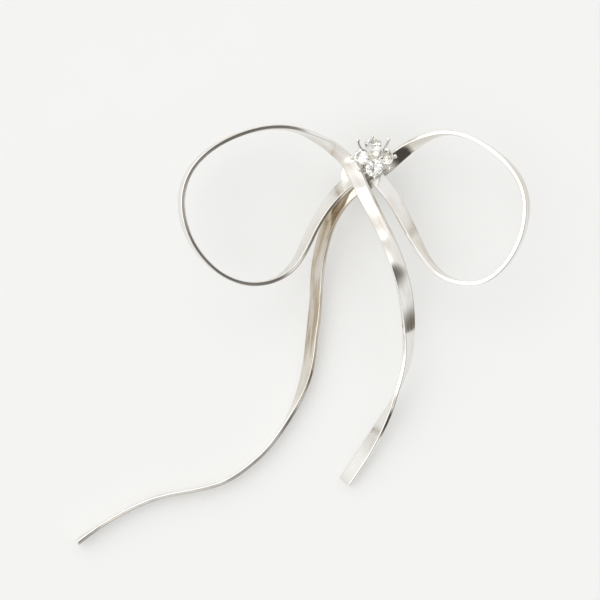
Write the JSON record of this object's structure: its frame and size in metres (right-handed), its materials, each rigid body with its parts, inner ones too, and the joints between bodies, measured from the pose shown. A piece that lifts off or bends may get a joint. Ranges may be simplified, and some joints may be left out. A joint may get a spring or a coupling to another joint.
{
  "type": "bow brooch with crystal flower",
  "caption": "Open bow brooch bent from flat silver wire, with a small crystal flower at its knot and a locking tack fastener hidden behind the knot.",
  "frame": {"origin": "Middle of the clutch's flat back face, the lowest flat the brooch rests on, straight behind the knot.", "axes": "+Z is the way the brooch's front faces, +Y runs from the two ribbon tails to the two loops, and +X is to the right of the bow as it is worn and seen from the front."},
  "size_m": [0.0762, 0.0705, 0.0139],
  "materials": {
    "ribbon_silver": "rolled and hand-bent silver wire, mirror polished, faces faintly scratched lengthwise",
    "setting_silver": "cast silver, tumbled bright, with rounded ball-ended prongs",
    "tack_steel": "turned and pressed steel, nickel plated",
    "crystal": "faceted clear cut stone, polished"
  },
  "bodies": {
    "brooch": {"left_ribbon": "ribbon_silver", "right_ribbon": "ribbon_silver", "knot_plate": "ribbon_silver", "tack_post": "tack_steel", "seat_post": "setting_silver", "flower_basket": "setting_silver", "stone_1": "crystal", "stone_2": "crystal", "stone_3": "crystal", "stone_4": "crystal", "short_prong_1": "setting_silver", "short_prong_2": "setting_silver", "short_prong_3": "setting_silver", "short_prong_4": "setting_silver", "long_prong_1": "setting_silver", "long_prong_2": "setting_silver", "long_prong_3": "setting_silver", "long_prong_4": "setting_silver"},
    "clutch": {"clutch_body": "tack_steel", "clutch_retainer": "tack_steel", "clutch_spring": "tack_steel"},
    "cap": {"release_cap": "tack_steel", "ball_cage": "tack_steel"},
    "ball_1": {"grip_ball_1": "tack_steel"},
    "ball_2": {"grip_ball_2": "tack_steel"},
    "ball_3": {"grip_ball_3": "tack_steel"}
  },
  "joints": [
    {"name": "clutch_slide", "type": "slide", "parent": "brooch", "child": "clutch", "axis": [0, 0, -1], "range_m": [0, 0.0055]},
    {"name": "cap_pull", "type": "slide", "parent": "clutch", "child": "cap", "axis": [0, 0, -1], "range_m": [0, 0.0005], "stiffness_N_per_m": 600, "springref_m": -0.0005, "deforming": ["clutch_spring"]},
    {"name": "ball_1_spread", "type": "slide", "parent": "cap", "child": "ball_1", "axis": [0, 1, 0], "range_m": [0, 0.0002]},
    {"name": "ball_2_spread", "type": "slide", "parent": "cap", "child": "ball_2", "axis": [-0.866, -0.5, 0], "range_m": [0, 0.0002]},
    {"name": "ball_3_spread", "type": "slide", "parent": "cap", "child": "ball_3", "axis": [0.866, -0.5, 0], "range_m": [0, 0.0002]}
  ],
  "couplings": [
    {"joint": "ball_1_spread", "follows": "cap_pull", "ratio": 0.4},
    {"joint": "ball_2_spread", "follows": "cap_pull", "ratio": 0.4},
    {"joint": "ball_3_spread", "follows": "cap_pull", "ratio": 0.4}
  ]
}
